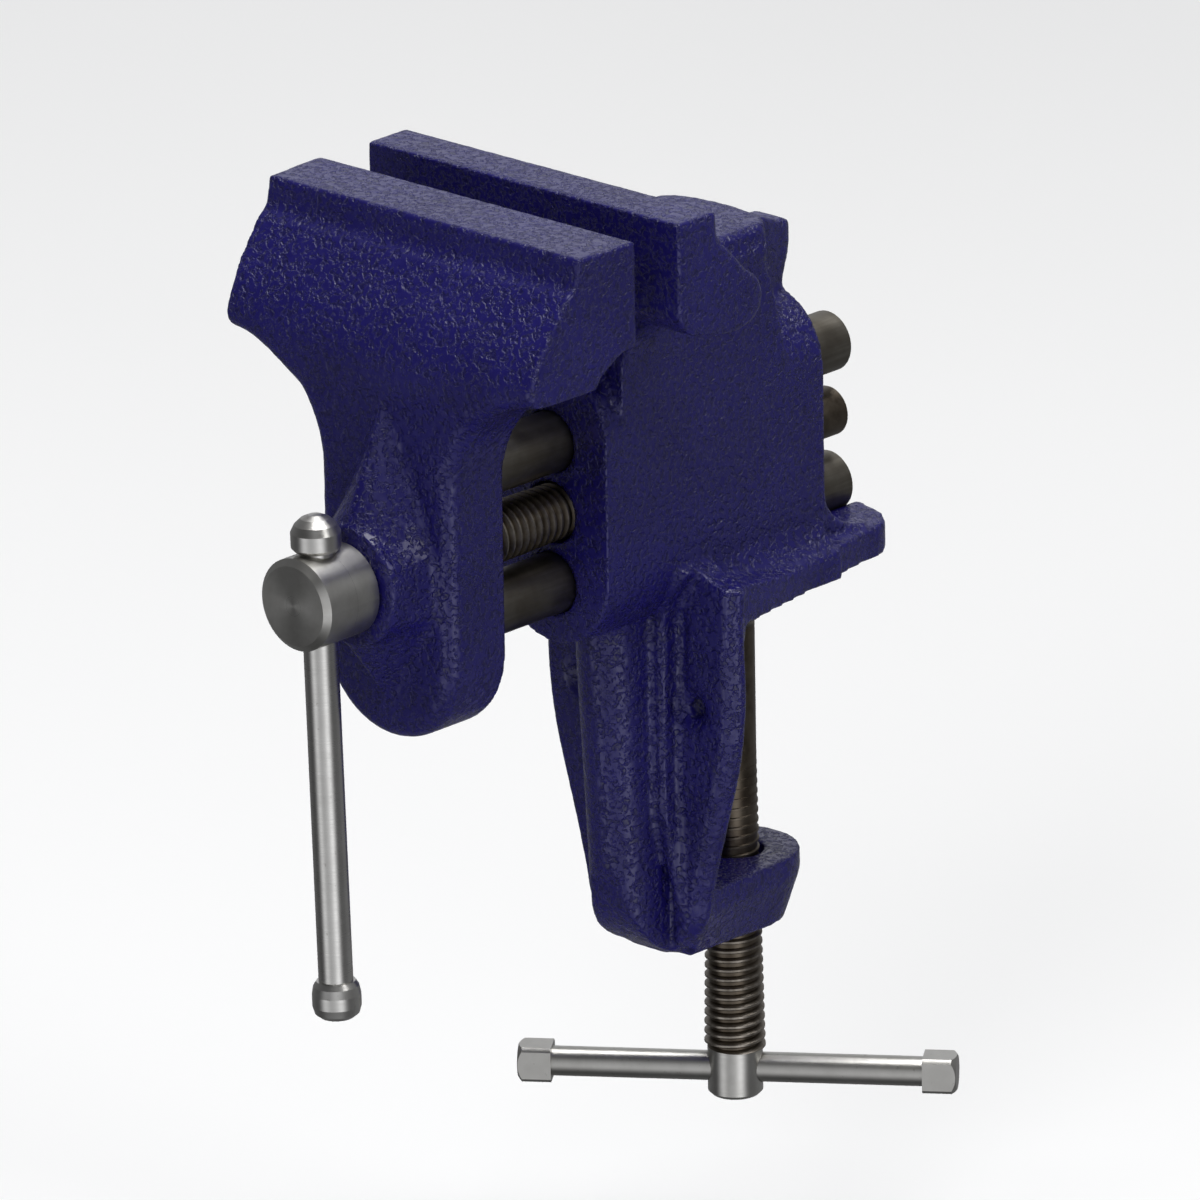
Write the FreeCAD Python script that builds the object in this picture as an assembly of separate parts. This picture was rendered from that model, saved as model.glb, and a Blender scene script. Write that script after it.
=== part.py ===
import FreeCAD, Part
import math
import os
from FreeCAD import Vector

# Clamp-on bench vise, in millimetres.
# Origin: where the clamp screw's axis meets the flat underside of the bench shelf.
# +X is the vise's right hand seen from the front, +Y points at the bench, +Z is up.
# Heights below are drawn from a datum that lies seat_height under the shelf's underside, and
# every piece is lowered by seat_height when it's written.

# ---- driving dimensions -------------------------------------------------------------------

seat_height = 1.5            # the shelf's underside above the drawing datum

# Guide block, screw and rods.
screw_height = 25.3          # main screw axis
screw_radius = 5.65          # thread crest of both screws
screw_rear = 27.5
thread_pitch = 1.814         # 14 threads per inch
thread_depth = 1.05
rod_radius = 5.6
rod_offset = 13.3            # rod axes above and below the screw axis
rod_rear = 28.3
rod_seat = 10.0              # how deep the rods sit in the front jaw
rod_chamfer = 0.8
pin_radius = 1.5
pin_bore = 0.8
pin_depth = 6.0              # cross pins behind the plate's back face
running_gap = 0.07           # radial gap of every running fit
body_gap = 0.3               # gap between faces of different moving bodies
block_half = 13.7
block_front = -46.7
block_rear = 11.4
block_low = 14.4             # centre height of the block's lower round
block_high = 40.7            # centre height of the block's upper round

# Jaws.
jaw_top = 88.5
jaw_half = 38.2
fixed_face = -52.7
jaw_opening = 11.5
moving_face = fixed_face - jaw_opening
lip_depth = 14.2             # flat top of the front jaw, front to back
lip_height = 4.6
plate_half = 16.2
plate_front = -89.7
plate_back = -75.7
plate_low = 10.4             # centre height of the plate's lower round
jaw_end_low = 63.2           # underside of the front jaw's ends
jaw_flare = 22.4             # concave radius from the plate up to the jaw bar
end_draft = 1.3              # how much each end of the front jaw narrows towards its front
edge_radius = 3.0            # along the front jaw's lower edges
boss_front = -99.2
boss_radius = 11.0

# Anvil, horn and neck.
neck_front = -42.2
anvil_top = 71.5
anvil_half = 14.6
anvil_rear = 0.7
horn_tip = 15.3

# Bench shelf, clamp frame and clamp boss.
throat_face = -19.2          # face that meets the bench's edge
wing_front = -25.0
wing_edge = 2.4              # bevels down both edges of each wing
shelf_rear = 29.9
shelf_half = 21.9
shelf_rear_half = 14.9
shelf_crown = 8.7            # top of the shelf at its middle
shelf_edge_top = 6.1         # top of the shelf at its sides
gusset_radius = 11.5
frame_bottom = -64.5
clamp_boss_top = -51.0
clamp_boss_radius = 12.3
clamp_boss_low_radius = 9.3
rib_radius = 6.6
rib_corner = 16.0
groove_floor = -23.6         # grooves between the rib and the wings
ridge_front = -28.4
ridge_width = 2.3
hole_side = 13.5             # wood-screw holes left and right of the centre
hole_height = -15.0
hole_radius = 1.75
countersink_radius = 5.3
countersink_depth = 1.4

# Main screw head and its handle.
head_radius = 8.5
head_front = -113.2
handle_y = -106.7
handle_radius = 3.1
handle_tilt = 1.8            # degrees about the screw axis
knob_bore = 1.9              # how deep the bar sits in its upper knob
handle_high = head_radius + body_gap + knob_bore
handle_low = -74.3
washer_radius = 7.3
washer_thick = 1.5
clip_thick = 1.3
clip_groove = 0.9

# Clamp screw, bar and pad.
clamp_head_low = -98.6
clamp_head_high = -89.4
clamp_head_radius = 5.05
clamp_bar_height = -93.6
clamp_bar_radius = 2.75
clamp_bar_length = 80.4
clamp_bar_angle = 35.6
clamp_bar_shift = 0.5
clamp_thread_top = -8.0
neck_radius = 1.8
ball_radius = 2.6
ball_height = -3.8
pad_top = -0.8
pad_radius = 7.5
pad_thick = 2.3
hub_radius = 5.4
hub_low = -6.7
ring_height = -5.4
ring_thick = 0.4

far = 200.0                  # longer than the whole vise, for cutting tools


# ---- helpers --------------------------------------------------------------------------------

def in_yz(u, v):
    return Vector(0, u, v)


def in_xz(u, v):
    return Vector(u, 0, v)


def in_xy(u, v):
    return Vector(u, v, 0)


def face(points, place):
    """Closed face from points; an entry of two points is an arc's middle and end."""
    edges = []
    here = place(*points[0])
    for item in points[1:] + [points[0]]:
        if isinstance(item[0], tuple):
            middle = place(*item[0])
            there = place(*item[1])
            edges.append(Part.Arc(here, middle, there).toShape())
        else:
            there = place(*item)
            if there.distanceToPoint(here) < 1e-6:
                continue
            edges.append(Part.LineSegment(here, there).toShape())
        here = there
    return Part.Face(Part.Wire(edges))


def mirrored(points):
    """Right half of an outline, listed from top to bottom, made whole."""
    left = []
    ends = [p[1] if isinstance(p[0], tuple) else p for p in points]
    for index in range(len(points) - 1, 0, -1):
        previous = ends[index - 1]
        target = (-previous[0], previous[1])
        if isinstance(points[index][0], tuple):
            middle = points[index][0]
            left.append(((-middle[0], middle[1]), target))
        else:
            left.append(target)
    start = ends[-1]
    if abs(start[0]) > 1e-6:
        left.insert(0, (-start[0], start[1]))
    return list(points) + left


def across(points, half):
    """Side profile carried from -half to +half along X."""
    shape = face(points, in_yz)
    shape.translate(Vector(-half, 0, 0))
    return shape.extrude(Vector(2 * half, 0, 0))


def along(points, start, end):
    """Front outline carried along Y."""
    shape = face(points, in_xz)
    shape.translate(Vector(0, start, 0))
    return shape.extrude(Vector(0, end - start, 0))


def upward(points, low, high):
    """Plan outline carried along Z."""
    shape = face(points, in_xy)
    shape.translate(Vector(0, 0, low))
    return shape.extrude(Vector(0, 0, high - low))


def box(low, high):
    size = Vector(*high) - Vector(*low)
    return Part.makeBox(size.x, size.y, size.z, Vector(*low))


def rod(radius, start, end, x=0.0, z=0.0):
    """Round bar along Y."""
    return Part.makeCylinder(radius, end - start, Vector(x, start, z), Vector(0, 1, 0))


def turned(points, origin, axis):
    """Body of revolution from (distance along the axis, radius) points."""
    side = Vector(1, 0, 0)
    corners = [origin + axis * a + side * r for a, r in points]
    wire = Part.makePolygon(corners + [corners[0]])
    return Part.Face(wire).revolve(origin, axis, 360)


def on_arc(centre, radius, degrees):
    angle = math.radians(degrees)
    return (centre[0] + radius * math.cos(angle), centre[1] + radius * math.sin(angle))


def thread(length):
    """Threaded bar along +Z from z = 0, with a real helical ridge."""
    root = screw_radius - thread_depth
    overlap = 0.12
    start = -thread_pitch
    base = 0.46 * thread_pitch
    tip = 0.10 * thread_pitch
    helix = Part.makeLongHelix(thread_pitch, length + 2 * thread_pitch, root)
    helix.translate(Vector(0, 0, start))
    corners = [Vector(root - overlap, 0, start - base),
               Vector(screw_radius, 0, start - tip),
               Vector(screw_radius, 0, start + tip),
               Vector(root - overlap, 0, start + base)]
    profile = Part.makePolygon(corners + [corners[0]])
    ridge = Part.Wire(helix.Edges).makePipeShell([profile], True, True)
    whole = Part.makeCylinder(root, length).fuse(ridge)
    return whole.common(Part.makeCylinder(screw_radius + 1, length))


def write(name, shape):
    shape = shape.removeSplitter()
    shape.translate(Vector(0, 0, -seat_height))
    shape.exportStep("parts/" + name + ".step")
    box_now = shape.BoundBox
    print("%-20s solids %d valid %s volume %.1f  x %.1f %.1f  y %.1f %.1f  z %.1f %.1f" % (
        name, len(shape.Solids), shape.isValid(), shape.Volume, box_now.XMin, box_now.XMax,
        box_now.YMin, box_now.YMax, box_now.ZMin, box_now.ZMax))


# ---- fixed body casting -----------------------------------------------------------------------

def guide_block():
    outline = [(block_half, block_high),
               (block_half, block_low),
               ((0, block_low - block_half), (-block_half, block_low)),
               (-block_half, block_high),
               ((0, block_high + block_half), (block_half, block_high))]
    return along(outline, block_front, block_rear)


def fixed_jaw():
    section = [(fixed_face, jaw_top),
               (-42.7, jaw_top),
               (-42.5, 85.2),
               ((-41.6, 82.8), (-39.9, 81.2)),
               (-34.2, 75.3),
               ((-30.9, 69.2), (-34.5, 65.4)),
               (-38.8, 64.7),
               (-46.1, 66.2),
               ((-50.6, 67.9), (fixed_face, 71.0))]
    bar = across(section, jaw_half - 0.5)
    centre = (26.7, 52.0)
    radius = centre[0] - block_half
    flare = mirrored([(0, 68), (30.0, 68), (30.0, centre[1] + radius), (centre[0], centre[1] + radius),
                      (on_arc(centre, radius, 135), (block_half, centre[1])), (0, centre[1])])
    return bar.fuse(along(flare, neck_front, -34.2))


def neck_and_anvil():
    top = anvil_top - 1.0
    sides = [(neck_front, block_low),
             (neck_front, 59.0),
             ((-43.4, 63.9), (-46.6, 67.6)),
             (-46.6, 75.0),
             (-36.0, 75.0),
             (-36.0, top),
             (-4.4, top),
             (-3.8, 64.5),
             (-2.0, 60.0),
             (0.0, 52.0),
             (1.6, 44.7),
             (2.4, 38.0),
             (2.4, block_low)]
    neck = across(sides, block_half)
    section = mirrored([(0, anvil_top), (anvil_half - 1.9, anvil_top), (anvil_half, 66.6),
                        ((anvil_half - 0.5, 65.0), (block_half - 0.4, 62.6)), (0, 62.6)])
    anvil = along(section, -38.0, anvil_rear)
    plan = mirrored([(0, -60), (20, -60), (20, anvil_rear - 6.9),
                     ((anvil_half - 1.0, anvil_rear - 4.3), (10.5, anvil_rear - 1.6)),
                     ((5.5, anvil_rear - 0.3), (0, anvil_rear))])
    return neck.fuse(anvil.common(upward(plan, 50, 80)))


def horn():
    top = anvil_top - 0.3
    profile = [(-8.0, top),
               (-3.6, top),
               ((4.0, 69.2), (10.4, 66.5)),
               ((14.0, 65.5), (horn_tip, 63.0)),
               ((12.5, 58.2), (block_rear - 0.3, 53.0)),
               (block_rear, block_high),
               (-8.0, block_high)]
    plan = mirrored([(0, -8.0), (6.2, -8.0), (5.6, 3.0), (4.2, 11.0),
                     ((3.0, horn_tip - 1.2), (0, horn_tip))])
    return across(profile, 10.0).common(upward(plan, 30, 80))


def shelf_plan():
    return mirrored([(0, wing_front), (shelf_half, wing_front), (shelf_half, throat_face),
                     (shelf_rear_half, 22.0),
                     ((shelf_rear_half - 1.9, shelf_rear - 1.9), (8.4, shelf_rear)), (0, shelf_rear)])


def shelf():
    plan = upward(shelf_plan(), -1, 20)
    section = mirrored([(0, shelf_crown), (6.0, shelf_crown - 0.3), (24.0, shelf_edge_top),
                        (24.0, seat_height), (0, seat_height)])
    plate = along(section, throat_face - 1.0, far).common(plan)
    front_rise = [(wing_front, -1.0), (wing_front, 9.4), (throat_face, 9.0), (-2.0, 6.6),
                  (-2.0, seat_height), (throat_face, seat_height), (throat_face, -1.0)]
    plate = plate.fuse(across(front_rise, far).common(plan))
    root = 4.5
    fillet = mirrored([(0, shelf_crown + root), (block_half, shelf_crown + root - 1.0),
                       ((block_half + 1.2, shelf_crown + 0.4), (block_half + root, shelf_edge_top + 0.8)),
                       (block_half + root, seat_height), (0, seat_height)])
    roots = along(fillet, throat_face + 1.0, block_rear - 0.5)
    centre = (block_rear + gusset_radius, shelf_crown - 0.6 + gusset_radius)
    gusset = [(block_rear - 3.0, centre[1]), (block_rear, centre[1]),
              (on_arc(centre, gusset_radius, 225), (centre[0], shelf_crown - 0.6)),
              (centre[0], 2.0), (block_rear - 3.0, 2.0)]
    return plate.fuse(roots).fuse(across(gusset, block_half - 0.7))


def wing_outline(inset):
    """Front view of both wings, drawn smaller by the inset at the sides and the bottom."""
    side = -inset
    return mirrored([(0, 12.2), (15.2, 12.2), ((17.4, 10.7), (19.8, 9.9)), (24.0 + side, 9.2),
                     (23.4 + side, 2.0), (23.8 + side, -11.0),
                     ((23.0 + side, -20.5), (20.7 + side, -31.0)), (17.3 + side, -43.0),
                     (15.3 + side, -51.0), (14.6 + side, -55.0),
                     ((11.0 + side, -60.6), (3.8, frame_bottom + inset)),
                     (0, frame_bottom + inset)])


def frame_wings():
    wings = along(wing_outline(0.0), wing_front + wing_edge, throat_face - wing_edge)
    for outer, inner in ((wing_front, wing_front + wing_edge), (throat_face, throat_face - wing_edge)):
        wires = []
        for inset, y in ((wing_edge, outer), (0.0, inner)):
            wire = face(wing_outline(inset), in_xz).OuterWire
            wire.translate(Vector(0, y, 0))
            wires.append(wire)
        wings = wings.fuse(Part.makeLoft(wires, True, True))
    grooves = upward(mirrored([(0, -40), (9.0, -40), (8.2, groove_floor), (0, groove_floor)]),
                     frame_bottom - 2, far)
    return wings.cut(grooves)


def wing_ridge(side):
    """Raised rim beside the groove, running up round the block to the shelf's front corner."""
    path = [(13.8, 12.4), (11.8, 9.6), (9.0, 5.6), (7.6, 1.4), (7.4, -30.0), (8.0, -47.0),
            (8.8, frame_bottom + 5.0)]
    outline = [(side * x, z) for x, z in path]
    outline += [(side * (x + ridge_width), z) for x, z in reversed(path)]
    fade = [(ridge_front, 20), (throat_face, 20), (throat_face, frame_bottom), (wing_front, -56.0),
            (ridge_front, -34.0)]
    return along(outline, ridge_front, groove_floor).common(across(fade, far))


def wing_channel(side):
    """Narrow recess between the rim and the wing's face, above the screw hole."""
    left = side * (hole_side - 3.4)
    right = side * (hole_side - 1.2)
    return box((min(left, right), ridge_front - 1, hole_height + 1.5),
               (max(left, right), groove_floor - 0.6, 3.5))


def frame_rib():
    top = Vector(0, -31.8, 6.0)
    low = Vector(0, -27.0, frame_bottom - 6.0)
    column = Part.makeCylinder(rib_radius, (low - top).Length, top, low - top)
    web = [(top.y, top.z), (throat_face, top.z), (throat_face, low.z), (low.y, low.z)]
    whole = column.fuse(across(web, rib_radius))
    centre = (low.y - rib_radius + rib_corner, frame_bottom + rib_corner)
    limit = [(-50, 5.0), (throat_face, 5.0), (throat_face, frame_bottom), (centre[0], frame_bottom),
             (on_arc(centre, rib_corner, 225), on_arc(centre, rib_corner, 180)), (-50, -20.0)]
    return whole.common(across(limit, 30))


def boss_outline(radius, half):
    start = throat_face - 2.0
    return [(half, start), (-half, start), (-radius, 0), ((0, radius), (radius, 0))]


def clamp_boss():
    rim = clamp_boss_top - 4.0
    bottom = frame_bottom + 0.2
    upper = upward(boss_outline(clamp_boss_radius, 14.0), rim, clamp_boss_top)
    wires = []
    for radius, half, z in ((clamp_boss_radius, 14.0, rim), (clamp_boss_low_radius, 9.0, bottom)):
        wire = face(boss_outline(radius, half), in_xy).OuterWire
        wire.translate(Vector(0, 0, z))
        wires.append(wire)
    return upper.fuse(Part.makeLoft(wires, True, True))


def fixed_body():
    shape = guide_block()
    for piece in (fixed_jaw(), neck_and_anvil(), horn(), shelf(), frame_wings(), frame_rib(),
                  wing_ridge(-1), wing_ridge(1), clamp_boss()):
        shape = shape.fuse(piece)
    throat = box((-far, throat_face, clamp_boss_top), (far, far, seat_height))
    spaces = [throat, wing_channel(-1), wing_channel(1),
              rod(screw_radius + running_gap, block_front - 20, far, z=screw_height),
              Part.makeCylinder(screw_radius + running_gap, far,
                                Vector(0, 0, clamp_boss_top + 1 - far))]
    for side in (-1, 1):
        spaces.append(rod(rod_radius + running_gap, block_front - 20, far,
                          z=screw_height + side * rod_offset))
        seat = Vector(side * hole_side, wing_front - 1.0, hole_height)
        spaces.append(Part.makeCylinder(hole_radius, 30, seat, Vector(0, 1, 0)))
        spaces.append(Part.makeCone(countersink_radius + 0.8, hole_radius, countersink_depth + 1.0,
                                    seat, Vector(0, 1, 0)))
    for space in spaces:
        shape = shape.cut(space)
    return shape


# ---- front jaw casting ------------------------------------------------------------------------

def front_jaw():
    lip = moving_face - lip_depth
    back_fillet = moving_face - plate_back
    back_centre = (moving_face, 57.6)
    side = [(moving_face, jaw_top),
            (lip, jaw_top),
            (lip - 0.6, jaw_top - lip_height + 0.6),
            ((lip - 1.3, jaw_top - lip_height - 0.9), (lip - 2.9, jaw_top - lip_height - 1.9)),
            (-85.7, 76.0),
            ((-88.6, 71.6), (-90.6, 66.6)),
            ((-91.0, 62.0), (plate_front, 57.0)),
            (plate_front, plate_low - plate_half),
            (plate_back, plate_low - plate_half),
            (plate_back, back_centre[1]),
            (on_arc(back_centre, back_fillet, 135), (moving_face, back_centre[1] + back_fillet))]
    centre = (jaw_half, jaw_end_low - jaw_flare)
    front = mirrored([(0, jaw_top), (jaw_half, jaw_top), (jaw_half, jaw_end_low),
                      (on_arc(centre, jaw_flare, 135), (plate_half, centre[1])),
                      (plate_half, plate_low),
                      (on_arc((0, plate_low), plate_half, -45), (0, plate_low - plate_half))])
    widest = -94.0
    plan = mirrored([(0, 0), (jaw_half, 0), (jaw_half, moving_face), (jaw_half - end_draft, widest),
                     (0, widest)])
    blank = across(side, far).common(along(front, -120, 0)).common(upward(plan, -20, 100))
    lower_edges = []
    for edge in blank.Edges:
        middle = edge.CenterOfMass
        crosses_face = abs(middle.x) < 1.0 and middle.z > 50.0
        on_end = abs(middle.x) > jaw_half - 2 * end_draft
        if middle.y < -86.0 and middle.z < 66.0 and not crosses_face and not on_end:
            lower_edges.append(edge)
    blank = blank.makeFillet(edge_radius, lower_edges)
    kite = [(0, 35), (12.5, 5), (12.8, -5), (0, -25.5), (-12.8, -5), (-12.5, 5)]
    crown = [on_arc((0, 0), boss_radius, 90 - 60 * index) for index in range(6)]
    wires = []
    for corners, y in ((kite, plate_front + 1.0), (crown, boss_front)):
        loop = [Vector(x, y, z + screw_height) for x, z in corners]
        wires.append(Part.makePolygon(loop + [loop[0]]))
    boss = Part.makeLoft(wires, True, True)
    collar = Part.makeCone(boss_radius, boss_radius + 1.2, plate_front - boss_front + 1.0,
                           Vector(0, boss_front, screw_height), Vector(0, 1, 0))
    shape = blank.fuse(boss).fuse(collar)
    shape = shape.cut(rod(screw_radius + running_gap, -130, -60, z=screw_height))
    for offset in (-1, 1):
        z = screw_height + offset * rod_offset
        shape = shape.cut(rod(rod_radius, plate_back - rod_seat, -60, z=z))
        shape = shape.cut(rod_pin_space(offset))
    return shape


def rod_pin_space(offset):
    """Cross pin of a guide rod, driven in from the left side of the plate."""
    start = Vector(0.6 - plate_half, plate_back - pin_depth, screw_height + offset * rod_offset)
    return Part.makeCylinder(pin_radius, plate_half + 4.0, start, Vector(1, 0, 0))


def guide_rod(offset):
    z = screw_height + offset * rod_offset
    start = plate_back - rod_seat
    length = rod_rear - start
    shape = turned([(0, 0), (0, rod_radius), (length - rod_chamfer, rod_radius),
                    (length, rod_radius - rod_chamfer), (length, 0)],
                   Vector(0, start, z), Vector(0, 1, 0))
    return shape.cut(rod_pin_space(offset))


def rod_pin(offset):
    start = Vector(-far / 2, plate_back - pin_depth, screw_height + offset * rod_offset)
    bore = Part.makeCylinder(pin_bore, far, start, Vector(1, 0, 0))
    return rod_pin_space(offset).cut(bore)


# ---- main screw and handle --------------------------------------------------------------------

def tilted(shape):
    shape.rotate(Vector(0, 0, screw_height), Vector(0, 1, 0), -handle_tilt)
    return shape


def handle_hole(radius):
    return tilted(Part.makeCylinder(radius, 60, Vector(0, handle_y, screw_height - 30)))


def main_screw():
    washer = plate_back + body_gap + washer_thick - head_front
    clip = washer + clip_thick
    head_back = boss_front - body_gap - head_front
    plain_end = plate_back + body_gap + 4.6 - head_front
    groove = screw_radius - clip_groove
    head = turned([(0, 0), (0, head_radius - 1.2), (1.0, head_radius),
                   (head_back - 0.6, head_radius), (head_back, head_radius - 0.6),
                   (head_back, screw_radius), (washer, screw_radius), (washer, groove),
                   (clip, groove), (clip, screw_radius - 0.2), (plain_end, screw_radius - 0.2),
                   (plain_end + 0.6, screw_radius - thread_depth), (plain_end + 0.6, 0)],
                  Vector(0, head_front, screw_height), Vector(0, 1, 0))
    thread_start = head_front + plain_end
    bar = thread(screw_rear - thread_start)
    bar.rotate(Vector(0, 0, 0), Vector(1, 0, 0), -90)
    bar.translate(Vector(0, thread_start, screw_height))
    return head.fuse(bar).cut(handle_hole(handle_radius + running_gap))


def screw_washer():
    start = plate_back + body_gap
    washer = rod(washer_radius, start, start + washer_thick, z=screw_height)
    return washer.cut(rod(screw_radius, start - 1, start + 3, z=screw_height))


def screw_clip():
    start = plate_back + body_gap + washer_thick
    clip = rod(washer_radius - 0.2, start, start + clip_thick, z=screw_height)
    clip = clip.cut(rod(screw_radius - clip_groove, start - 1, start + 3, z=screw_height))
    mouth = box((-1.6, start - 1, screw_height), (1.6, start + 3, screw_height + 12))
    return clip.cut(mouth)


def handle_bar():
    bar = Part.makeCylinder(handle_radius, handle_high - handle_low,
                            Vector(0, handle_y, screw_height + handle_low))
    return tilted(bar)


def handle_upper_knob():
    low = screw_height + handle_high - knob_bore
    points = [(0, handle_radius), (0, 3.9), (0.7, 4.5), (3.4, 4.5), (4.8, 3.8), (5.9, 2.6), (6.5, 1.2),
              (6.6, 0), (knob_bore, 0), (knob_bore, handle_radius)]
    return tilted(turned(points, Vector(0, handle_y, low), Vector(0, 0, 1)))


def handle_lower_knob():
    depth = 3.0
    high = screw_height + handle_low + depth
    points = [(0, handle_radius), (0, 3.5), (0.9, 4.1), (2.4, 4.4), (4.6, 4.4), (6.0, 4.0), (6.8, 3.0),
              (7.0, 1.8), (7.0, 0), (depth, 0), (depth, handle_radius)]
    return tilted(turned(points, Vector(0, handle_y, high), Vector(0, 0, -1)))


# ---- clamp screw, bar and pad -----------------------------------------------------------------

def turned_bar(shape):
    shape.rotate(Vector(0, 0, 0), Vector(0, 0, 1), clamp_bar_angle)
    return shape


def clamp_screw():
    length = clamp_head_high - clamp_head_low
    head = turned([(0, 0), (0, clamp_head_radius - 0.7), (0.7, clamp_head_radius),
                   (length, clamp_head_radius), (length + 0.5, screw_radius - thread_depth),
                   (length + 0.5, 0)],
                  Vector(0, 0, clamp_head_low), Vector(0, 0, 1))
    bar = thread(clamp_thread_top - clamp_head_high)
    bar.translate(Vector(0, 0, clamp_head_high))
    neck = Part.makeCylinder(neck_radius, ball_height - clamp_thread_top + 1,
                             Vector(0, 0, clamp_thread_top - 1))
    ball = Part.makeSphere(ball_radius, Vector(0, 0, ball_height))
    hole = Part.makeCylinder(clamp_bar_radius + running_gap, 40, Vector(-20, 0, clamp_bar_height),
                             Vector(1, 0, 0))
    return head.fuse(bar).fuse(neck).fuse(ball).cut(turned_bar(hole))


def clamp_bar():
    half = clamp_bar_length / 2
    bar = Part.makeCylinder(clamp_bar_radius, clamp_bar_length - 6,
                            Vector(-half + 3 + clamp_bar_shift, 0, clamp_bar_height), Vector(1, 0, 0))
    end_length = 6.2
    end_half = 3.3
    for side in (-1, 1):
        inner = clamp_bar_shift + side * (half - end_length)
        outer = clamp_bar_shift + side * half
        low = min(inner, outer)
        block = box((low, -end_half, clamp_bar_height - end_half),
                    (low + end_length, end_half, clamp_bar_height + end_half))
        ball = Part.makeSphere(5.9, Vector(outer - side * 5.0, 0, clamp_bar_height))
        waist = Part.makeCylinder(4.2, end_length, Vector(low, 0, clamp_bar_height), Vector(1, 0, 0))
        bar = bar.fuse(block.common(waist).common(ball))
    return turned_bar(bar)


def swivel_pad():
    socket = ball_radius + running_gap
    low = hub_low - pad_top
    shape = turned([(0, 0), (0, pad_radius - 0.6), (-0.6, pad_radius), (-pad_thick + 0.5, pad_radius),
                    (-pad_thick, pad_radius - 0.6), (-pad_thick - 0.2, hub_radius + 0.3),
                    (low, hub_radius), (low, 0)],
                   Vector(0, 0, pad_top), Vector(0, 0, 1))
    cavity = Part.makeCylinder(socket, ball_height - hub_low + 1, Vector(0, 0, hub_low - 1))
    dome = Part.makeSphere(socket, Vector(0, 0, ball_height))
    return shape.cut(cavity).cut(dome).cut(pad_ring())


def pad_ring():
    return Part.makeTorus(ball_radius + 0.1, ring_thick, Vector(0, 0, ring_height))


# ---- every piece in its own file ----------------------------------------------------------------

os.makedirs("parts", exist_ok=True)
write("fixed_body", fixed_body())
write("front_jaw", front_jaw())
write("upper_guide_rod", guide_rod(1))
write("lower_guide_rod", guide_rod(-1))
write("upper_rod_pin", rod_pin(1))
write("lower_rod_pin", rod_pin(-1))
write("main_screw", main_screw())
write("screw_washer", screw_washer())
write("screw_clip", screw_clip())
write("handle_bar", handle_bar())
write("handle_upper_knob", handle_upper_knob())
write("handle_lower_knob", handle_lower_knob())
write("clamp_screw", clamp_screw())
write("clamp_bar", clamp_bar())
write("swivel_pad", swivel_pad())
write("pad_ring", pad_ring())
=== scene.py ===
import math

import bpy
import numpy as np
from mathutils import Matrix, Vector


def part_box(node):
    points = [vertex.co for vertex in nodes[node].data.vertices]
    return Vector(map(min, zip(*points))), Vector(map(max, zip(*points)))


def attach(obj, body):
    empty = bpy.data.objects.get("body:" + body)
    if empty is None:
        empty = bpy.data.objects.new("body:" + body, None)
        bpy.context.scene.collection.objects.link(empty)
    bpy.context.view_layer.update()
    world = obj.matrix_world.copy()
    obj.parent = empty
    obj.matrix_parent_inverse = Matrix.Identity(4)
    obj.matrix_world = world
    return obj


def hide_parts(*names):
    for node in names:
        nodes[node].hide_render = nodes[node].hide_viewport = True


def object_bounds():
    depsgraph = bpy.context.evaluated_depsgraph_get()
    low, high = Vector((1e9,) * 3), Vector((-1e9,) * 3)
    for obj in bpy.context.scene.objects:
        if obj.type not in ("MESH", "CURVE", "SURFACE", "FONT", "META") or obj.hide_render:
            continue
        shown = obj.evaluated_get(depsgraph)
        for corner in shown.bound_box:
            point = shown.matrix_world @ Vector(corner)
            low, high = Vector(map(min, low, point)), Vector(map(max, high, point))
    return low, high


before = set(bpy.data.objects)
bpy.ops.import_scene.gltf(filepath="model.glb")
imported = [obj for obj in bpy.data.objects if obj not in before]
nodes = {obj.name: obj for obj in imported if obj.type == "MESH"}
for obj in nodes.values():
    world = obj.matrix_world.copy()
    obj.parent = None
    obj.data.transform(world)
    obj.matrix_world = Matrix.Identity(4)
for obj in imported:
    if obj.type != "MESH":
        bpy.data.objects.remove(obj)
cad_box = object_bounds()
MM = 0.001

# The castings' skin: how finely it is remeshed, and how deep the enamel puckers into it.
VOXEL = 0.62 * MM
SMOOTHING_ROUNDS = 2
SMOOTHING_SHARE = 0.5
PUCKER_SIZE = 1.5 * MM
PUCKER_DEPTH = 0.12 * MM

# Bores along Y, which the remesh would otherwise roughen.
SCREW_RADIUS = 5.65 * MM
BORE_PLAY = 0.07 * MM
BORE_EASE = 0.05 * MM
WALL_REACH = 0.45 * MM  # how far outside a bore a point still counts as its wall
BLOCK_BACK = 12.5 * MM

# Wood-screw holes in the wings, their walls narrowed by the enamel.
HOLE_SIDE = 13.5 * MM
HOLE_HEIGHT = -16.5 * MM
HOLE_RADIUS = 1.55 * MM
HOLE_FRONT = -23.4 * MM
HOLE_BACK = -19.4 * MM

# The screws: the root of the thread, the depth over which it turns bright, and the clamp's head.
THREAD_ROOT = 4.75 * MM
THREAD_DEPTH = 0.8 * MM
CLAMP_HEAD_HEIGHT = 9.2 * MM

# Studio. A heading is in degrees from the front of the vise, positive towards +X.
FLOOR_HALF = 6.0
FLOOR_DROP = 45 * MM
SKY_COLOUR = (0.96, 0.97, 1.0, 1.0)
SKY_HEADING = -165.0
SKY_HEIGHT = 0.35
SKY_CHANGE = 0.10
SKY_MIDDLE = 0.118
# Soft boxes seen in the steel: heading, height, narrowness, strength.
SOFT_BOXES = [
    (-10, -0.35, 24.0, 1.0),
    (66, -0.35, 24.0, 1.35),
    (33, -0.3, 7.0, 0.6),
    (43, 0.30, 20.0, 0.5),
    (-137, 0.35, 22.0, 0.50),
]
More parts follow.
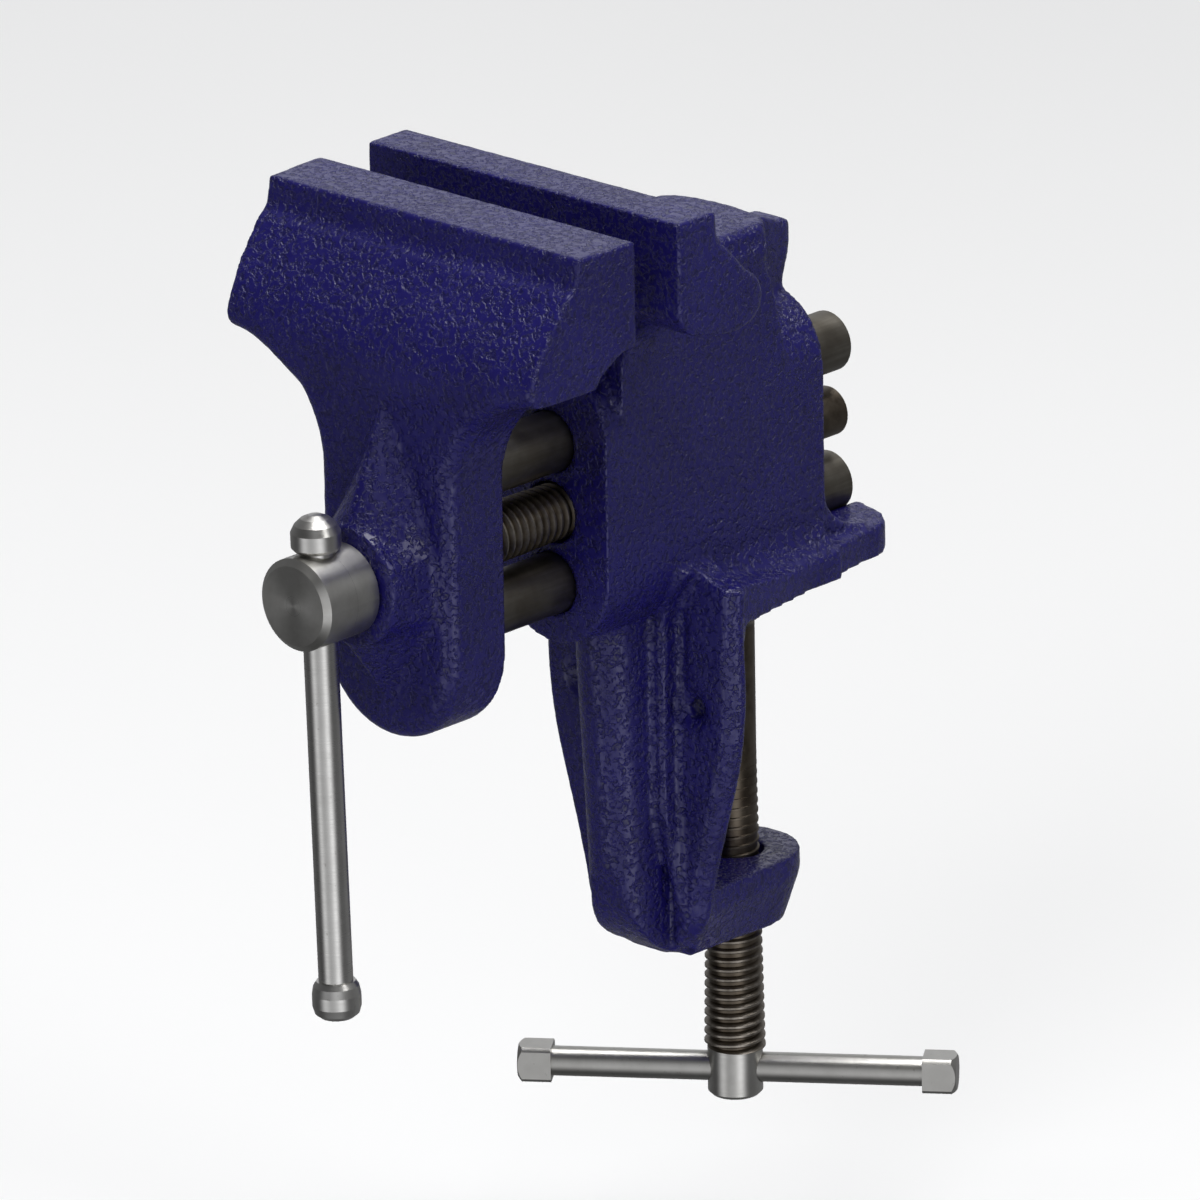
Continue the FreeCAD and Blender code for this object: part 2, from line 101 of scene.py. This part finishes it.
# Lights aimed at the origin: name, place, width and height, watts, whether glossy surfaces mirror it.
LIGHTS = [
    ("overhead", (0.1, 0.2, 1.8), (1.3, 1.3), 29, True),
    ("left_key", (-1.6, -0.3, 1.1), (0.5, 1.2), 7, False),
    ("right_key", (1.6, 0.1, 1.0), (0.5, 1.0), 4, True),
    ("front_fill", (0.7, -1.7, 1.3), (0.6, 0.6), 9, False),
]

# Camera: angles round the vise, distance, the width that it sees there, and what it looks at.
AZIMUTH = math.radians(42.98)
ELEVATION = math.radians(19.26)
ROLL = math.radians(-0.94)
DISTANCE = 3.25185
SEEN_WIDTH = 0.21486
AIM = Vector((0.0, -33.1, 2.9)) * MM
AIM_LEFT = 0.695 * MM
AIM_UP = 0.653 * MM
SENSOR_WIDTH = 36.0


# ---- cast pieces: rounded edges and an enamel skin on the CAD shapes ---------------------------

def smooth(points, edges):
    """Moves every point part of the way to the middle of its neighbours."""
    count = len(points)
    degree = np.bincount(edges.ravel(), minlength=count).astype(float)
    degree[degree == 0] = 1.0
    for _ in range(SMOOTHING_ROUNDS):
        total = np.zeros_like(points)
        for axis in range(3):
            total[:, axis] = (
                np.bincount(edges[:, 0], weights=points[edges[:, 1], axis], minlength=count)
                + np.bincount(edges[:, 1], weights=points[edges[:, 0], axis], minlength=count))
        points = points + SMOOTHING_SHARE * (total / degree[:, None] - points)
    return points


def bore_back(points, centre_x, centre_z, radius, low_y, high_y):
    """Puts the wall of a bore along Y back on its true radius."""
    dx = points[:, 0] - centre_x
    dz = points[:, 2] - centre_z
    reach = np.hypot(dx, dz)
    along = (points[:, 1] > low_y) & (points[:, 1] < high_y)
    wall = (reach < radius + WALL_REACH) & along
    factor = (radius + BORE_EASE) / np.maximum(reach, 1e-6)
    points[wall, 0] = centre_x + dx[wall] * factor[wall]
    points[wall, 2] = centre_z + dz[wall] * factor[wall]
    return points


def bake_modifiers(piece):
    """Turns the piece's modifiers into its mesh."""
    bpy.context.view_layer.update()
    depsgraph = bpy.context.evaluated_depsgraph_get()
    mesh = bpy.data.meshes.new_from_object(piece.evaluated_get(depsgraph))
    piece.modifiers.clear()
    piece.data = mesh
    return mesh


def casting(node, name, bores):
    """A finely remeshed copy of a cast node, with rounded edges, inside the node's own box."""
    piece = bpy.data.objects.new(name, nodes[node].data.copy())
    bpy.context.scene.collection.objects.link(piece)
    remesh = piece.modifiers.new("skin", "REMESH")
    remesh.mode = "VOXEL"
    remesh.voxel_size = VOXEL
    remesh.use_smooth_shade = True
    mesh = bake_modifiers(piece)
    mesh.name = name
    points = np.zeros(len(mesh.vertices) * 3)
    mesh.vertices.foreach_get("co", points)
    points = points.reshape(-1, 3)
    edges = np.zeros(len(mesh.edges) * 2, int)
    mesh.edges.foreach_get("vertices", edges)
    points = smooth(points, edges.reshape(-1, 2))
    for bore in bores:
        points = bore_back(points, *bore)
    low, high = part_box(node)
    points = np.clip(points, np.array(low), np.array(high))
    mesh.vertices.foreach_set("co", points.ravel())
    mesh.update()
    mesh.polygons.foreach_set("use_smooth", np.ones(len(mesh.polygons), bool))
    texture = bpy.data.textures.new(name + "_pucker", "CLOUDS")
    texture.noise_scale = PUCKER_SIZE
    texture.noise_depth = 1
    pucker = piece.modifiers.new("pucker", "DISPLACE")
    pucker.texture = texture
    pucker.texture_coords = "LOCAL"
    pucker.mid_level = 1.0
    pucker.strength = PUCKER_DEPTH
    bake_modifiers(piece)
    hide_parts(node)
    return piece


def rod_centre(node):
    """X, Z and radius of a rod along Y."""
    low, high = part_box(node)
    middle = (low + high) / 2
    return middle.x, middle.z, (high.z - low.z) / 2


upper_x, upper_z, _ = rod_centre("upper_guide_rod")
lower_x, lower_z, rod_radius = rod_centre("lower_guide_rod")
screw_z = (upper_z + lower_z) / 2
body_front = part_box("fixed_body")[0].y
jaw_low, jaw_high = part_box("front_jaw")
body_bores = [
    (upper_x, upper_z, rod_radius + BORE_PLAY, body_front, BLOCK_BACK),
    (lower_x, lower_z, rod_radius + BORE_PLAY, body_front, BLOCK_BACK),
    (0.0, screw_z, SCREW_RADIUS + BORE_PLAY, body_front, BLOCK_BACK),
]
for side in (-1, 1):
    body_bores.append((side * HOLE_SIDE, HOLE_HEIGHT, HOLE_RADIUS, HOLE_FRONT, HOLE_BACK))
jaw_bores = [(0.0, screw_z, SCREW_RADIUS + BORE_PLAY, jaw_low.y, jaw_high.y)]
body = casting("fixed_body", "fixed_body_casting", body_bores)
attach(body, "fixed_body")
jaw = casting("front_jaw", "front_jaw_casting", jaw_bores)
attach(jaw, "front_jaw")


# ---- materials ---------------------------------------------------------------------------------

class Nodes:
    """Short hand for building a node tree."""

    def __init__(self, tree):
        self.tree = tree

    def add(self, kind, **values):
        node = self.tree.nodes.new(kind)
        for key, value in values.items():
            setattr(node, key, value)
        return node

    def link(self, source, target):
        self.tree.links.new(source, target)

    def put(self, target, value):
        """Sets a socket to a number or a colour, or links it to another node's output."""
        if isinstance(value, (int, float)):
            target.default_value = value
        elif isinstance(value, tuple):
            target.default_value = (*value, 1.0)
        else:
            self.link(value, target)

    def math(self, operation, *values, clamp=False):
        node = self.add("ShaderNodeMath", operation=operation, use_clamp=clamp)
        for socket, value in zip(node.inputs, values):
            self.put(socket, value)
        return node.outputs[0]


class Surface(Nodes):
    """A material made from one Principled shader."""

    def __init__(self, name):
        self.material = bpy.data.materials.new(name)
        self.material.use_nodes = True
        super().__init__(self.material.node_tree)
        self.tree.nodes.clear()
        out = self.add("ShaderNodeOutputMaterial")
        self.shader = self.add("ShaderNodeBsdfPrincipled")
        self.link(self.shader.outputs["BSDF"], out.inputs["Surface"])
        self.place = self.add("ShaderNodeTexCoord").outputs["Object"]

    def noise(self, size, detail=2.0, rough=0.5, stretch=(1, 1, 1), distortion=0.0):
        mapping = self.add("ShaderNodeMapping")
        mapping.inputs["Scale"].default_value = stretch
        self.link(self.place, mapping.inputs["Vector"])
        node = self.add("ShaderNodeTexNoise")
        node.inputs["Scale"].default_value = 1.0 / size
        node.inputs["Detail"].default_value = detail
        node.inputs["Roughness"].default_value = rough
        node.inputs["Distortion"].default_value = distortion
        self.link(mapping.outputs[0], node.inputs["Vector"])
        return node.outputs["Fac"]

    def cells(self, size, smoothness):
        node = self.add("ShaderNodeTexVoronoi", feature="SMOOTH_F1")
        node.inputs["Scale"].default_value = 1.0 / size
        node.inputs["Smoothness"].default_value = smoothness
        self.link(self.place, node.inputs["Vector"])
        return node.outputs["Distance"]

    def ramp(self, value, start, end):
        """Blends from one (position, grey or colour) stop to another."""
        node = self.add("ShaderNodeValToRGB")
        for element, (position, shade) in zip(node.color_ramp.elements, (start, end)):
            element.position = position
            colour = shade if isinstance(shade, tuple) else (shade, shade, shade)
            element.color = (*colour, 1.0)
        self.link(value, node.inputs[0])
        return node.outputs["Color"]

    def mix(self, factor, a, b):
        node = self.add("ShaderNodeMix", data_type="RGBA")
        self.put(node.inputs["Factor"], factor)
        self.put(node.inputs[6], a)
        self.put(node.inputs[7], b)
        return node.outputs[2]

    def mix_number(self, factor, a, b):
        node = self.add("ShaderNodeMix", data_type="FLOAT")
        self.link(factor, node.inputs[0])
        self.link(a, node.inputs[2])
        self.link(b, node.inputs[3])
        return node.outputs[0]

    def bump(self, height, distance, strength):
        node = self.add("ShaderNodeBump")
        node.inputs["Distance"].default_value = distance
        node.inputs["Strength"].default_value = strength
        self.link(height, node.inputs["Height"])
        return node.outputs["Normal"]

    def axis(self, name):
        node = self.add("ShaderNodeSeparateXYZ")
        self.link(self.place, node.inputs[0])
        return node.outputs[name]

    def set(self, **values):
        for key, value in values.items():
            self.put(self.shader.inputs[key.replace("_", " ")], value)


def hammer_paint():
    """Deep blue hammer-finish enamel: shallow dimples, fine relief with painted shade darkening its
    hollows, and a glossy skin.
    """
    deep_blue = (0.0074, 0.0052, 0.090)
    clear_blue = (0.0105, 0.0080, 0.120)
    # The darkest blue is painted shade, used in the hollows of the fine relief.
    hollow_shade_blue = (0.0035, 0.0028, 0.030)
    t = Surface("hammer_enamel")
    dimple = t.cells(1.7 * MM, 0.4)
    fine_relief = t.noise(1.05 * MM, 3.0, 0.5, distortion=0.5)
    broad = t.noise(6.0 * MM, 2.0, 0.5)
    pits = t.ramp(fine_relief, (0.36, 0.0), (0.52, 1.0))
    height = t.math("ADD", t.math("MULTIPLY", dimple, -0.5), t.math("MULTIPLY", pits, 0.9))
    height = t.math("ADD", height, t.math("MULTIPLY", broad, 0.6))
    normal = t.bump(height, 0.24 * MM, 1.0)
    tone = t.ramp(t.noise(18 * MM, 3.0, 0.6), (0.3, deep_blue), (0.7, clear_blue))
    # Darker blue is painted where the fine relief is low: painted shade in the hollows, on top of the
    # bump's own shading.
    colour = t.mix(t.ramp(fine_relief, (0.34, 0.55), (0.46, 0.0)), tone, hollow_shade_blue)
    roughness = t.math("MULTIPLY_ADD", t.ramp(fine_relief, (0.36, 1.0), (0.50, 0.0)), 0.03, 0.27)
    t.set(Base_Color=colour, Roughness=roughness, Normal=normal, Coat_Normal=normal)
    t.set(Specular_IOR_Level=0.45, Coat_Weight=0.25, Coat_Roughness=0.12, Coat_IOR=1.5)
    return t.material


def rod_steel():
    """Oiled bar stock with drawing streaks along Y and faint rings round it."""
    oily_steel = (0.205, 0.185, 0.155)
    wiped_steel = (0.31, 0.295, 0.26)
    streak_brown = (0.10, 0.085, 0.065)
    t = Surface("oiled_bar")
    streak = t.noise(1.4 * MM, 3.0, 0.6, stretch=(1.0, 0.06, 1.0))
    stain = t.noise(7 * MM, 3.0, 0.6)
    ring = t.noise(0.5 * MM, 2.0, 0.5, stretch=(0.05, 1.0, 0.05))
    colour = t.mix(t.ramp(stain, (0.35, 0.0), (0.7, 1.0)), oily_steel, wiped_steel)
    colour = t.mix(t.ramp(streak, (0.4, 0.45), (0.75, 0.0)), colour, streak_brown)
    roughness = t.math("MULTIPLY_ADD", stain, 0.22, 0.30)
    height = t.math("ADD", t.math("MULTIPLY", ring, 0.5), t.math("MULTIPLY", streak, 0.5))
    normal = t.bump(height, 0.02 * MM, 0.6)
    t.set(Base_Color=colour, Metallic=1.0, Roughness=roughness, Normal=normal)
    return t.material


def turned_steel(name, axis, base=(0.60, 0.59, 0.565), roughness=0.27):
    """Bright satin steel with fine marks round one axis."""
    light = tuple(shade + 0.08 for shade in base)
    speck_grey = (0.22, 0.20, 0.17)
    along = 1.0
    across = 0.03
    stretch = tuple(along if letter == axis else across for letter in "XYZ")
    t = Surface(name)
    marks = t.noise(0.35 * MM, 3.0, 0.65, stretch=stretch)
    cloud = t.noise(5 * MM, 3.0, 0.6)
    colour = t.mix(t.ramp(cloud, (0.3, 0.0), (0.7, 1.0)), base, light)
    speck = t.noise(0.9 * MM, 2.0, 0.5)
    colour = t.mix(t.ramp(speck, (0.24, 0.35), (0.33, 0.0)), colour, speck_grey)
    rough = t.math("MULTIPLY_ADD", marks, 0.16, roughness - 0.06)
    normal = t.bump(marks, 0.006 * MM, 0.7)
    t.set(Base_Color=colour, Metallic=1.0, Roughness=rough, Normal=normal)
    return t.material


def screw_steel(name, axis, head_end, centre):
    """Bright turned head and an oily brown rolled thread, told apart by place along the axis."""
    grease_dark = (0.11, 0.088, 0.066)
    grease_light = (0.19, 0.16, 0.125)
    crest_dark = (0.30, 0.265, 0.22)
    crest_light = (0.50, 0.46, 0.41)
    head_dark = (0.56, 0.55, 0.52)
    head_light = (0.68, 0.67, 0.64)
    t = Surface(name)
    place = t.axis(axis)
    head = t.math("LESS_THAN", place, head_end)
    across = [t.axis(letter) for letter in "XYZ" if letter != axis]
    offsets = [t.math("SUBTRACT", value, middle) for value, middle in zip(across, centre)]
    square = t.math("ADD", t.math("POWER", offsets[0], 2.0), t.math("POWER", offsets[1], 2.0))
    radius = t.math("SQRT", square)
    above_root = t.math("SUBTRACT", radius, THREAD_ROOT)
    crest = t.math("MULTIPLY", above_root, 1.0 / THREAD_DEPTH, clamp=True)
    wear = t.noise(3.0 * MM, 3.0, 0.6)
    fine = t.noise(0.8 * MM, 2.0, 0.6)
    grease = t.mix(t.ramp(wear, (0.35, 0.0), (0.7, 1.0)), grease_dark, grease_light)
    flank = t.mix(t.ramp(fine, (0.3, 0.0), (0.75, 1.0)), crest_dark, crest_light)
    thread_colour = t.mix(crest, grease, flank)
    circles = t.add("ShaderNodeTexNoise", noise_dimensions="1D")
    circles.inputs["Scale"].default_value = 1.0 / (0.35 * MM)
    circles.inputs["Detail"].default_value = 3.0
    t.link(t.math("ADD", radius, place), circles.inputs["W"])
    rings = circles.outputs["Fac"]
    cloud = t.noise(4 * MM, 3.0, 0.6)
    bright = t.mix(t.ramp(cloud, (0.3, 0.0), (0.7, 1.0)), head_dark, head_light)
    colour = t.mix(head, thread_colour, bright)
    head_rough = t.math("MULTIPLY_ADD", rings, 0.14, 0.24)
    thread_rough = t.math("MULTIPLY_ADD", wear, 0.20, 0.26)
    rough = t.mix_number(head, thread_rough, head_rough)
    thread = t.math("SUBTRACT", 1.0, head)
    height = t.math("ADD", t.math("MULTIPLY", rings, head), t.math("MULTIPLY", fine, thread))
    tangent = t.add("ShaderNodeTangent", direction_type="RADIAL", axis=axis)
    t.link(tangent.outputs[0], t.shader.inputs["Tangent"])
    normal = t.bump(height, 0.008 * MM, 0.8)
    t.set(Base_Color=colour, Metallic=1.0, Roughness=rough, Normal=normal)
    t.set(Anisotropic=0.55, Anisotropic_Rotation=0.25)
    return t.material


def plain_dark(name):
    """Dull stained steel for the small fittings."""
    stained = (0.16, 0.145, 0.125)
    clean = (0.30, 0.28, 0.25)
    t = Surface(name)
    stain = t.noise(3 * MM, 3.0, 0.6)
    colour = t.mix(stain, stained, clean)
    roughness = t.math("MULTIPLY_ADD", stain, 0.25, 0.28)
    normal = t.bump(t.noise(0.5 * MM), 0.01 * MM, 0.6)
    t.set(Base_Color=colour, Metallic=1.0, Roughness=roughness, Normal=normal)
    return t.material


def dress(piece, material):
    piece.data.materials.clear()
    piece.data.materials.append(material)


paint = hammer_paint()
for piece in (body, jaw):
    dress(piece, paint)
bar = rod_steel()
for name in ("upper_guide_rod", "lower_guide_rod"):
    dress(nodes[name], bar)
dark = plain_dark("dark_fittings")
for name in ("upper_rod_pin", "lower_rod_pin", "screw_washer", "screw_clip", "swivel_pad", "pad_ring"):
    dress(nodes[name], dark)
dress(nodes["main_screw"], screw_steel("main_screw_steel", "Y", jaw_low.y, (0.0, screw_z)))
clamp_head_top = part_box("clamp_screw")[0].z + CLAMP_HEAD_HEIGHT
dress(nodes["clamp_screw"], screw_steel("clamp_screw_steel", "Z", clamp_head_top, (0.0, 0.0)))
dress(nodes["handle_bar"], turned_steel("handle_bar_steel", "Z"))
for name in ("handle_upper_knob", "handle_lower_knob"):
    dress(nodes[name], turned_steel(name + "_steel", "Z", roughness=0.30))
clamp_bar_steel = turned_steel("clamp_bar_steel", "X", base=(0.55, 0.54, 0.51), roughness=0.31)
dress(nodes["clamp_bar"], clamp_bar_steel)


# ---- floor, light and camera -------------------------------------------------------------------

floor_level = cad_box[0][2] - FLOOR_DROP
corners = [(-1, -1), (1, -1), (1, 1), (-1, 1)]
floor_data = bpy.data.meshes.new("floor")
floor_data.from_pydata([(x * FLOOR_HALF, y * FLOOR_HALF, floor_level) for x, y in corners],
                       [], [(0, 1, 2, 3)])
floor = bpy.data.objects.new("floor", floor_data)
bpy.context.scene.collection.objects.link(floor)
paper = Surface("floor_paper")
paper.set(Base_Color=paper.ramp(paper.noise(0.4), (0.3, 0.90), (0.7, 0.93)), Roughness=0.9)
dress(floor, paper.material)
# Glossy surfaces see the soft boxes below the horizon instead of the floor.
floor.visible_glossy = False

world = bpy.data.worlds.new("studio")
bpy.context.scene.world = world
world.use_nodes = True
studio = Nodes(world.node_tree)
direction = studio.add("ShaderNodeTexCoord").outputs["Generated"]


def towards(heading, height):
    """How nearly the world's direction is that heading, 1 along it and -1 away from it."""
    node = studio.add("ShaderNodeVectorMath", operation="DOT_PRODUCT")
    studio.link(direction, node.inputs[0])
    turn = math.radians(heading)
    node.inputs[1].default_value = Vector((math.sin(turn), -math.cos(turn), height)).normalized()
    return node.outputs["Value"]


light_level = studio.math("MULTIPLY_ADD", towards(SKY_HEADING, SKY_HEIGHT), SKY_CHANGE, SKY_MIDDLE)
for heading, height, narrowness, strength in SOFT_BOXES:
    facing = studio.math("MAXIMUM", towards(heading, height), 0.0)
    glow = studio.math("MULTIPLY", studio.math("POWER", facing, narrowness), strength)
    light_level = studio.math("ADD", light_level, glow)
background = world.node_tree.nodes["Background"]
background.inputs["Color"].default_value = SKY_COLOUR
studio.link(light_level, background.inputs["Strength"])

for name, place, size, watts, mirrored in LIGHTS:
    data = bpy.data.lights.new(name, "AREA")
    data.shape = "RECTANGLE"
    data.size, data.size_y = size
    data.energy = watts
    light = bpy.data.objects.new(name, data)
    light.location = place
    light.rotation_euler = (-Vector(place)).to_track_quat("-Z", "Y").to_euler()
    light.visible_glossy = mirrored
    bpy.context.scene.collection.objects.link(light)

back = Vector((math.sin(AZIMUTH) * math.cos(ELEVATION), -math.cos(AZIMUTH) * math.cos(ELEVATION),
               math.sin(ELEVATION)))
level_right = Vector((math.cos(AZIMUTH), math.sin(AZIMUTH), 0.0))
right = level_right * math.cos(ROLL) + back.cross(level_right) * math.sin(ROLL)
up = back.cross(right)
target = AIM - right * AIM_LEFT + up * AIM_UP
camera_data = bpy.data.cameras.new("camera")
camera_data.sensor_width = SENSOR_WIDTH
camera_data.lens = SENSOR_WIDTH * DISTANCE / SEEN_WIDTH
camera_data.clip_end = 50.0
camera = bpy.data.objects.new("camera", camera_data)
turned = Matrix((right, up, back)).transposed().to_4x4()
camera.matrix_world = Matrix.Translation(target + back * DISTANCE) @ turned
bpy.context.scene.collection.objects.link(camera)
bpy.context.scene.camera = camera
bpy.context.scene.view_settings.view_transform = "Standard"
